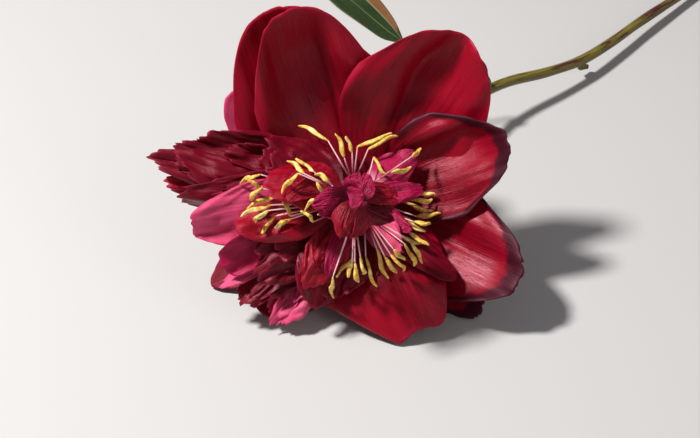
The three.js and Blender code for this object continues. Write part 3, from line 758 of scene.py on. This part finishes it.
def stem_material():
    n = Nodes("stem")
    u, v = n.uv()
    around = n.math("MULTIPLY", v, 9.0)
    streak = n.noise(n.vector(around, n.math("MULTIPLY", u, 14.0)), 1.0, 4.0, 0.6)
    fine = n.noise(n.vector(n.math("MULTIPLY", v, 40.0), n.math("MULTIPLY", u, 50.0)), 1.0, 3.0)
    base = n.mix(n.span(streak, 0.35, 0.7), (0.20, 0.16, 0.018), (0.10, 0.09, 0.012))
    base = n.mix(n.span(n.math("MULTIPLY_ADD", u, 0.10, streak), 0.54, 0.64), base, (0.075, 0.010, 0.012))
    base = n.mix(n.math("MULTIPLY", n.span(fine, 0.55, 0.7), 0.3), base, (0.26, 0.24, 0.07))
    n.set(Base_Color=base, Roughness=n.span(fine, 0.3, 0.7, 0.36, 0.52))
    n.bump(n.math("ADD", streak, fine), 0.35, 0.0004)
    return n.material


def calyx_material():
    n = Nodes("calyx")
    u, v = n.uv()
    patch = n.noise(n.place(), 120.0, 4.0)
    streak = n.noise(n.vector(n.math("MULTIPLY", v, 22.0), n.math("MULTIPLY", u, 2.0)), 1.0, 3.0)
    base = n.mix(patch, (0.10, 0.11, 0.025), (0.20, 0.19, 0.05))
    flush = n.span(n.math("ADD", u, n.math("MULTIPLY", streak, 0.4)), 0.75, 1.15)
    base = n.mix(flush, base, (0.16, 0.01, 0.02))
    n.set(Base_Color=base, Roughness=n.span(streak, 0.3, 0.7, 0.42, 0.58))
    n.bump(streak, 0.4, 0.0005)
    return n.material


def stamen_material():
    """Along a stamen u runs from its foot, 0, to its anther's tip, 1, and the anther is the last part."""
    n = Nodes("stamen")
    u = n.uv()[0]
    grain = n.noise(n.place(), 900.0, 3.0)
    patch = n.noise(n.place(), 180.0, 2.0)
    gold = n.mix(n.span(grain, 0.35, 0.65), (0.66, 0.33, 0.030), (0.95, 0.68, 0.15))
    gold = n.mix(n.span(patch, 0.5, 0.75), gold, (0.98, 0.82, 0.36))
    pale = n.mix(n.span(u, 0.0, 0.45), (0.45, 0.02, 0.07), (0.92, 0.62, 0.60))
    pale = n.mix(n.math("MULTIPLY", grain, 0.3), pale, (0.6, 0.06, 0.12))
    base = n.mix(n.span(u, 0.49, 0.53), pale, gold)
    n.set(Base_Color=base, Roughness=n.span(grain, 0.3, 0.7, 0.5, 0.75))
    n.shader.inputs["Subsurface Weight"].default_value = 0.1
    n.shader.inputs["Subsurface Radius"].default_value = (0.001, 0.0007, 0.0002)
    n.bump(grain, 0.6, 0.0003)
    return n.material


def carpel_material():
    n = Nodes("carpel")
    u = n.uv()[0]
    down = n.noise(n.place(), 700.0, 4.0)
    base = n.mix(n.span(u, 0.5, 0.9), (0.55, 0.30, 0.22), (0.60, 0.03, 0.10))
    base = n.mix(n.math("MULTIPLY", n.span(down, 0.45, 0.65), 0.6), base, (0.90, 0.66, 0.60))
    n.set(Base_Color=base, Roughness=n.span(down, 0.3, 0.7, 0.45, 0.7))
    n.shader.inputs["Sheen Weight"].default_value = 0.4
    n.bump(down, 0.6, 0.0004)
    return n.material


# ---------- Tubes ----------


def tube_mesh(line, radii, sides, sections=None):
    """The points, faces and u, v of a closed tube. sections, if given, is a radius factor for each
    place along it and angle round it."""
    count = len(line)
    tangents = np.gradient(line, axis=0)
    tangents /= np.linalg.norm(tangents, axis=1, keepdims=True)
    side = np.cross(tangents[0], [0.31, 0.17, 0.93])
    rings, uvs = [], []
    for i in range(count):
        side = side - tangents[i] * (side @ tangents[i])
        side /= np.linalg.norm(side)
        other = np.cross(tangents[i], side)
        for j in range(sides):
            angle = 2 * math.pi * j / sides
            r = radii[i] * (1 if sections is None else sections(i / (count - 1), angle))
            rings.append(line[i] + r * (side * math.cos(angle) + other * math.sin(angle)))
            uvs.append((i / (count - 1), j / sides))
    faces = []
    for i in range(count - 1):
        for j in range(sides):
            a, b = i * sides + j, i * sides + (j + 1) % sides
            faces.append((a, b, b + sides, a + sides))
    start, end = len(rings), len(rings) + 1
    rings += [line[0], line[-1]]
    uvs += [(0, 0.5), (1, 0.5)]
    last = (count - 1) * sides
    for j in range(sides):
        faces.append((start, (j + 1) % sides, j))
        faces.append((end, last + j, last + (j + 1) % sides))
    return np.array(rings), faces, np.array(uvs)


def resampled(line, count, *others):
    """A smooth line with count points evenly along it, and the others read at the same places."""
    dense_at = np.linspace(0, len(line) - 1, 40 * len(line))
    weights = spline_weights(len(line), dense_at)
    dense = weights @ line
    run = np.concatenate([[0], np.cumsum(np.linalg.norm(np.diff(dense, axis=0), axis=1))])
    at = np.interp(np.linspace(0, run[-1], count), run, dense_at)
    read = spline_weights(len(line), at)
    return [read @ line, *[np.interp(at, range(len(line)), other) for other in others]]


def joined(pieces):
    """Several meshes' points, faces and u, v as one."""
    points, faces, uvs, shift = [], [], [], 0
    for p, f, t in pieces:
        points.append(p)
        uvs.append(t)
        faces += [tuple(i + shift for i in face) for face in f]
        shift += len(p)
    return np.vstack(points), faces, np.vstack(uvs)


# ---------- Building the petals ----------
PETAL_SKIN = 0.34 * MM
SEPAL_SKIN = 0.8 * MM
LEAF_SKIN = 0.35 * MM
SMALL_PETAL_FINE = (44, 36)  # rows and columns of all petals but the guard petals

petal_looks = {look: petal_material(look) for look in LOOKS}
for node, changes in PETALS.items():
    plan = {**PLAIN, **changes}
    if not node.startswith("guard"):
        plan["fine"] = SMALL_PETAL_FINE
    sheets = [sheet_mesh(fine_petal(node, plan, lobe), PETAL_SKIN) for lobe in plan["lobes"]]
    points, faces, uvs = joined(sheets)
    look = plan["look"]
    new_object(node + "_petal", points, faces, uvs, [node], petal_looks[look])

calyx = calyx_material()
for node in ("sepal_lower_left", "sepal_upper_left", "sepal_right"):
    plan = {**PLAIN, "fine": (30, 22), "ruffle": 0.3, "pleat_depth": 0.08, "seed": len(node)}
    points, faces, uvs = sheet_mesh(fine_petal(node, plan), SEPAL_SKIN)
    new_object(node + "_sheet", points, faces, uvs, [node], calyx)

leaf_plan = {
    **PLAIN,
    "fine": (70, 56),
    "ruffle": 1.6,
    "ruffle_count": 2.2,
    "pleat_depth": 0.0,
    "seed": 5,
    "ease": 2,
    "folds": [(0.0, 0.06, -0.5, 0.1)],
    "lobes": ((-0.45, 0.75, 1.0, 0.0),),
}
points, faces, uvs = sheet_mesh(fine_petal("leaf", leaf_plan, leaf_plan["lobes"][0]), LEAF_SKIN)
new_object("leaf_blade", points, faces, uvs, ["leaf"], leaf_material())

# ---------- Receptacle, stem, petiole and bud scar ----------
line, radii = rod_line("receptacle")
foot_first = line if in_head(line)[0, 2] < in_head(line)[-1, 2] else line[::-1]
foot_radii = radii if foot_first is line else radii[::-1]
smooth_line, smooth_radii = resampled(foot_first, 24, foot_radii)
points, faces, uvs = tube_mesh(smooth_line, smooth_radii, 32)
uvs = uvs * np.array([0.4, 1])
new_object("receptacle_body", points, faces, uvs, ["receptacle"], calyx)

green = stem_material()
STEM_SAMPLES = 400  # points of the stem's line that the petiole and bud scar may meet
stem_line = resampled(rod_line("stem")[0], STEM_SAMPLES)[0]
leaf_foot = sheet_net("leaf", AXIS)[0].mean(0)


def meeting(line, radii, point, radius):
    """A rod's line and radii with one more point at the end that is nearer to it."""
    if np.linalg.norm(line[0] - point) < np.linalg.norm(line[-1] - point):
        return np.vstack([point, line]), np.concatenate([[radius], radii])
    return np.vstack([line, point]), np.concatenate([radii, [radius]])


for node, count, sides in (("stem", 160, 20), ("petiole", 40, 14), ("bud_scar", 16, 16)):
    line, radii = rod_line(node)
    if node != "stem":
        gaps = np.linalg.norm(line[:, None] - stem_line[None], axis=2)
        near_end, near_stem = np.unravel_index(gaps.argmin(), gaps.shape)
        line, radii = meeting(line, radii, stem_line[near_stem], radii[near_end] * 1.3)
        if near_end > 0:
            line, radii = line[::-1], radii[::-1]
    if node == "petiole":
        line, radii = meeting(line, radii, leaf_foot, radii[-1] * 0.8)
    line, radii = resampled(line, count, radii)
    run = np.linspace(0, 1, count)
    radii = radii * (1 + 0.05 * noise(run * count / 9, run * 0, 3))
    if node == "petiole":
        radii = radii * (1 + 0.7 * np.exp(-((run / 0.1) ** 2)))

    def ribbed(share, angle):
        return 1 + 0.05 * math.cos(3 * angle + 4 * share) + 0.03 * math.cos(7 * angle)

    points, faces, uvs = tube_mesh(line, radii, sides, ribbed)
    new_object(node + "_rod", points, faces, uvs, [node], green)

carpel = carpel_material()
for node in ("carpel_left", "carpel_right"):
    line, radii = rod_line(node)
    if in_head(line)[0, 2] > in_head(line)[-1, 2]:
        line, radii = line[::-1], radii[::-1]
    line, radii = resampled(line, 26, radii)
    points, faces, uvs = tube_mesh(line, radii, 18)
    new_object(node + "_body", points, faces, uvs, [node], carpel)

# ---------- Stamens ----------
ANTHER_WIDTH = 2.0 * MM
FILAMENT_WIDTH = 0.65 * MM
ANTHER_STEPS = 4  # rings of a packed stamen that its anther takes
FILAMENT_ROWS, FILAMENT_SIDES = 18, 8
ANTHER_ROWS, ANTHER_SIDES = 22, 14


def stamen_mesh(line, seed):
    """One stamen: a thin filament and a long, flattened anther with a groove down each face."""
    line = line[::-1]  # foot first
    filament_line = line[: len(line) - ANTHER_STEPS + 1]
    anther_line = line[len(line) - ANTHER_STEPS :]
    pieces = []
    if len(filament_line) > 1:
        path = resampled(filament_line, FILAMENT_ROWS)[0]
        width = np.linspace(1.2, 0.7, FILAMENT_ROWS) * FILAMENT_WIDTH / 2
        p, f, t = tube_mesh(path, width, FILAMENT_SIDES)
        pieces.append((p, f, t * np.array([0.48, 1])))
    path = resampled(anther_line, ANTHER_ROWS)[0]
    run = np.linspace(0, 1, ANTHER_ROWS)
    across = np.cross(path[-1] - path[0], AXIS)
    across /= np.linalg.norm(across)
    bend = 1.3 * noise(np.array([seed * 1.7]), np.array([0.5]), seed)[0] * np.sin(math.pi * run)
    bend += 0.45 * np.sin(run * 7 + seed)
    path = path + across * (bend * run * MM)[:, None]
    path = path + AXIS * (0.5 * np.sin(run * 5 + 2 * seed) * run * MM)[:, None]
    width = np.clip(np.sin(math.pi * (0.06 + 0.90 * run)), 0, 1) ** 0.55
    width *= ANTHER_WIDTH / 2 * (1 + 0.14 * noise(run * 6, run * 0 + seed, seed + 2))

    def lobed(share, angle):
        lean = angle + 2.2 * share + seed
        return (0.52 + 0.48 * abs(math.cos(lean))) * (1 - 0.18 * math.cos(2 * lean) ** 8)

    p, f, t = tube_mesh(path, width, ANTHER_SIDES, lobed)
    pieces.append((p, f, t * np.array([0.45, 1]) + np.array([0.55, 0])))
    return joined(pieces)


gold = stamen_material()
for node in sorted(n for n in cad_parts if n.startswith("stamens")):
    lines = stamen_lines(node)
    made = [stamen_mesh(line, 3 + 7 * k) for k, line in enumerate(lines)]
    points, faces, uvs = joined(made)
    new_object(node + "_bundle", points, faces, uvs, [node], gold)

# ---------- Stage, camera and light ----------
FLOOR_COLOUR = (0.60, 0.58, 0.56)
VIEW_RIGHT, VIEW_UP, VIEW_BACK = -1.8 * MM, -7 * MM, 606 * MM  # the camera, from the head's middle
LENS = 84.7
KEY_PLACE, KEY_SIZE, KEY_POWER = (-0.60, 0.72, 0.62), 0.16, 19  # seen from the head
FILL_PLACE, FILL_SIZE, FILL_POWER = (0.8, 0.1, 0.9), 0.8, 2
SKY_COLOUR, SKY_STRENGTH = (0.9, 0.92, 1.0, 1), 0.16

bpy.ops.mesh.primitive_plane_add(size=8, location=(0, 0, 0))
floor = bpy.context.object
floor.name = "floor"
n = Nodes("floor")
speck = n.noise(n.place(), 3.0, 3.0)
n.set(Base_Color=n.mix(speck, FLOOR_COLOUR, tuple(0.96 * c for c in FLOOR_COLOUR)))
n.set(Roughness=0.4)
floor.data.materials.append(n.material)

camera_data = bpy.data.cameras.new("camera")
camera_data.lens = LENS
camera_data.sensor_width = 36
camera_data.clip_start = 0.01
camera = bpy.data.objects.new("camera", camera_data)
bpy.context.scene.collection.objects.link(camera)
camera.location = from_head([VIEW_RIGHT, VIEW_UP, VIEW_BACK])
turn = Matrix([RIGHT, UP, AXIS]).transposed()
camera.rotation_euler = turn.to_euler()
bpy.context.scene.camera = camera


def area_light(name, where, size, power):
    """A white area light at a place seen from the head, aimed at the middle of its face."""
    data = bpy.data.lights.new(name, "AREA")
    data.shape = "DISK"
    data.size = size
    data.energy = power
    light = bpy.data.objects.new(name, data)
    bpy.context.scene.collection.objects.link(light)
    light.location = from_head(where)
    way = Vector(from_head((0, 0, 0))) - light.location
    light.rotation_euler = way.to_track_quat("-Z", "Y").to_euler()


area_light("key", KEY_PLACE, KEY_SIZE, KEY_POWER)
area_light("fill", FILL_PLACE, FILL_SIZE, FILL_POWER)
world = bpy.data.worlds.new("studio")
bpy.context.scene.world = world
world.use_nodes = True
world.node_tree.nodes["Background"].inputs[0].default_value = SKY_COLOUR
world.node_tree.nodes["Background"].inputs[1].default_value = SKY_STRENGTH
bpy.context.scene.view_settings.view_transform = "Standard"
bpy.context.scene.view_settings.look = "None"

bpy.context.view_layer.update()
